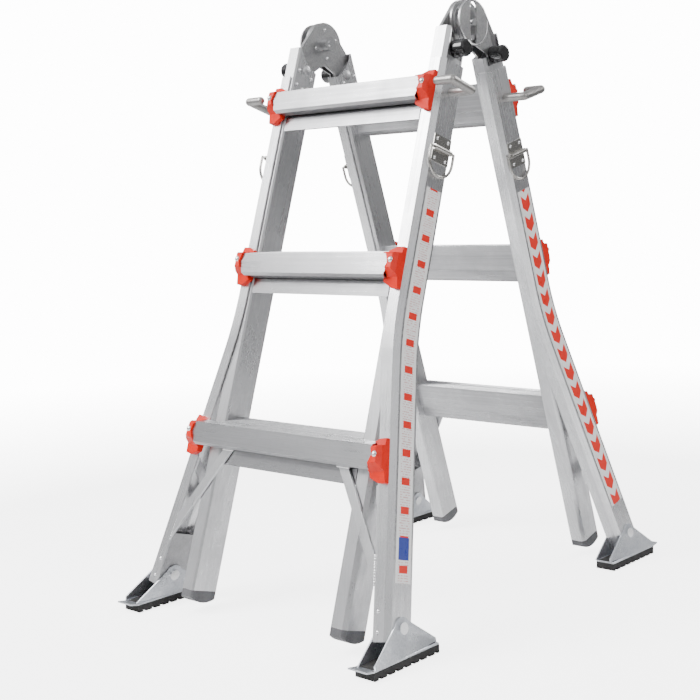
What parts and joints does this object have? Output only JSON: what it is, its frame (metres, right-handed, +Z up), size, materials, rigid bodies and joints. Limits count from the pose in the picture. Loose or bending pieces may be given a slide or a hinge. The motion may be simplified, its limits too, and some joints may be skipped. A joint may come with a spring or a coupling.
{
  "type": "multi position ladder",
  "caption": "Folding telescoping ladder standing as a step ladder, with flared legs, pivoting shoes, locking hinges and lock tabs.",
  "frame": {"origin": "on the floor, midway between the two sections and midway across the rungs", "axes": "+X along the rungs, -Y towards the front section's climbing side, +Z up"},
  "size_m": [0.595, 0.8344, 1.0451],
  "materials": {
    "rail_aluminium": "brushed extruded aluminium",
    "inner_rail_aluminium": "brushed extruded aluminium",
    "rung_aluminium": "brushed extruded aluminium",
    "brace_aluminium": "brushed, welded ends",
    "plug_aluminium": "satin",
    "hinge_aluminium": "tumbled casting",
    "rivet_aluminium": "bright satin",
    "bracket_plastic": "satin orange-red moulding",
    "cap_plastic": "satin grey moulding",
    "knob_plastic": "satin black moulding",
    "label_film": null,
    "sole_rubber": "ribbed black rubber",
    "shoe_steel": "zinc plated sheet",
    "ring_steel": "stainless",
    "pin_steel": "polished",
    "tab_metal": "bead blasted casting"
  },
  "bodies": {
    "front_outer": {"front_outer_rail_left": "rail_aluminium", "front_outer_rail_right": "rail_aluminium", "front_outer_rungs": "rung_aluminium", "front_rung_brackets": "bracket_plastic", "front_braces": "brace_aluminium", "front_rail_plugs": "plug_aluminium", "front_tie_straps": "ring_steel", "front_rivets": "rivet_aluminium", "front_labels": "label_film", "front_shoe_bolts": "pin_steel", "front_lock_guides": "pin_steel"},
    "front_inner": {"front_inner_rail_left": "inner_rail_aluminium", "front_inner_rail_right": "inner_rail_aluminium", "front_inner_rungs": "rung_aluminium", "front_inner_caps": "cap_plastic", "front_hinge_halves": "hinge_aluminium", "front_hinge_rivets": "rivet_aluminium"},
    "rear_outer": {"rear_outer_rail_left": "rail_aluminium", "rear_outer_rail_right": "rail_aluminium", "rear_outer_rungs": "rung_aluminium", "rear_rung_brackets": "bracket_plastic", "rear_braces": "brace_aluminium", "rear_rail_plugs": "plug_aluminium", "rear_tie_straps": "ring_steel", "rear_rivets": "rivet_aluminium", "rear_labels": "label_film", "rear_shoe_bolts": "pin_steel", "rear_lock_guides": "pin_steel"},
    "rear_inner": {"rear_inner_rail_left": "inner_rail_aluminium", "rear_inner_rail_right": "inner_rail_aluminium", "rear_inner_rungs": "rung_aluminium", "rear_inner_caps": "cap_plastic", "rear_hinge_halves": "hinge_aluminium", "rear_hinge_rivets": "rivet_aluminium", "hinge_pins": "pin_steel"},
    "front_shoe_left": {"front_shoe_left": "shoe_steel", "front_sole_left": "sole_rubber"},
    "front_tie_ring_left": {"front_tie_ring_left": "ring_steel"},
    "front_lock_knob_left": {"front_lock_knob_left": "knob_plastic", "knob_pin_front_left": "pin_steel"},
    "front_lock_tab_left": {"front_lock_tab_left": "tab_metal"},
    "front_shoe_right": {"front_shoe_right": "shoe_steel", "front_sole_right": "sole_rubber"},
    "front_tie_ring_right": {"front_tie_ring_right": "ring_steel"},
    "front_lock_knob_right": {"front_lock_knob_right": "knob_plastic", "knob_pin_front_right": "pin_steel"},
    "front_lock_tab_right": {"front_lock_tab_right": "tab_metal"},
    "rear_shoe_left": {"rear_shoe_left": "shoe_steel", "rear_sole_left": "sole_rubber"},
    "rear_tie_ring_left": {"rear_tie_ring_left": "ring_steel"},
    "rear_lock_knob_left": {"rear_lock_knob_left": "knob_plastic", "knob_pin_rear_left": "pin_steel"},
    "rear_lock_tab_left": {"rear_lock_tab_left": "tab_metal"},
    "rear_shoe_right": {"rear_shoe_right": "shoe_steel", "rear_sole_right": "sole_rubber"},
    "rear_tie_ring_right": {"rear_tie_ring_right": "ring_steel"},
    "rear_lock_knob_right": {"rear_lock_knob_right": "knob_plastic", "knob_pin_rear_right": "pin_steel"},
    "rear_lock_tab_right": {"rear_lock_tab_right": "tab_metal"}
  },
  "joints": [
    {"name": "front_extension", "type": "slide", "parent": "front_outer", "child": "front_inner", "axis": [0, 0.2924, 0.9563], "range_m": [0, 0.6096]},
    {"name": "hinge_fold", "type": "hinge", "parent": "front_inner", "child": "rear_inner", "pos_m": [0, 0, 1.00413], "axis": [1, 0, 0], "range_deg": [-28, 146]},
    {"name": "rear_extension", "type": "slide", "parent": "rear_inner", "child": "rear_outer", "axis": [0, 0.2924, -0.9563], "range_m": [0, 0.6096]},
    {"name": "front_shoe_left_tilt", "type": "hinge", "parent": "front_outer", "child": "front_shoe_left", "pos_m": [-0.2689, -0.32816, 0.05288], "axis": [0.9833, -0.0533, -0.1743], "range_deg": [-50, 25]},
    {"name": "front_tie_ring_left_swing", "type": "hinge", "parent": "front_outer", "child": "front_tie_ring_left", "pos_m": [-0.2044, -0.10577, 0.78027], "axis": [0, 0.9563, -0.2924], "range_deg": [0, 150]},
    {"name": "front_lock_knob_left_pull", "type": "slide", "parent": "front_inner", "child": "front_lock_knob_left", "axis": [-1, 0, 0], "range_m": [0, 0.01], "stiffness_N_per_m": 600, "springref_m": -0.01},
    {"name": "front_lock_tab_left_pull", "type": "slide", "parent": "front_outer", "child": "front_lock_tab_left", "axis": [-1, 0, 0], "range_m": [0, 0.022], "stiffness_N_per_m": 400, "springref_m": -0.01},
    {"name": "front_shoe_right_tilt", "type": "hinge", "parent": "front_outer", "child": "front_shoe_right", "pos_m": [0.2689, -0.32816, 0.05288], "axis": [0.9833, 0.0533, 0.1743], "range_deg": [-50, 25]},
    {"name": "front_tie_ring_right_swing", "type": "hinge", "parent": "front_outer", "child": "front_tie_ring_right", "pos_m": [0.2044, -0.10577, 0.78027], "axis": [0, -0.9563, 0.2924], "range_deg": [0, 150]},
    {"name": "front_lock_knob_right_pull", "type": "slide", "parent": "front_inner", "child": "front_lock_knob_right", "axis": [1, 0, 0], "range_m": [0, 0.01], "stiffness_N_per_m": 600, "springref_m": -0.01},
    {"name": "front_lock_tab_right_pull", "type": "slide", "parent": "front_outer", "child": "front_lock_tab_right", "axis": [1, 0, 0], "range_m": [0, 0.022], "stiffness_N_per_m": 400, "springref_m": -0.01},
    {"name": "rear_shoe_left_tilt", "type": "hinge", "parent": "rear_outer", "child": "rear_shoe_left", "pos_m": [-0.2689, 0.32816, 0.05288], "axis": [0.9833, 0.0533, -0.1743], "range_deg": [-25, 50]},
    {"name": "rear_tie_ring_left_swing", "type": "hinge", "parent": "rear_outer", "child": "rear_tie_ring_left", "pos_m": [-0.2044, 0.10577, 0.78027], "axis": [0, 0.9563, 0.2924], "range_deg": [0, 150]},
    {"name": "rear_lock_knob_left_pull", "type": "slide", "parent": "rear_inner", "child": "rear_lock_knob_left", "axis": [-1, 0, 0], "range_m": [0, 0.01], "stiffness_N_per_m": 600, "springref_m": -0.01},
    {"name": "rear_lock_tab_left_pull", "type": "slide", "parent": "rear_outer", "child": "rear_lock_tab_left", "axis": [-1, 0, 0], "range_m": [0, 0.022], "stiffness_N_per_m": 400, "springref_m": -0.01},
    {"name": "rear_shoe_right_tilt", "type": "hinge", "parent": "rear_outer", "child": "rear_shoe_right", "pos_m": [0.2689, 0.32816, 0.05288], "axis": [0.9833, -0.0533, 0.1743], "range_deg": [-25, 50]},
    {"name": "rear_tie_ring_right_swing", "type": "hinge", "parent": "rear_outer", "child": "rear_tie_ring_right", "pos_m": [0.2044, 0.10577, 0.78027], "axis": [0, -0.9563, -0.2924], "range_deg": [0, 150]},
    {"name": "rear_lock_knob_right_pull", "type": "slide", "parent": "rear_inner", "child": "rear_lock_knob_right", "axis": [1, 0, 0], "range_m": [0, 0.01], "stiffness_N_per_m": 600, "springref_m": -0.01},
    {"name": "rear_lock_tab_right_pull", "type": "slide", "parent": "rear_outer", "child": "rear_lock_tab_right", "axis": [1, 0, 0], "range_m": [0, 0.022], "stiffness_N_per_m": 400, "springref_m": -0.01}
  ]
}
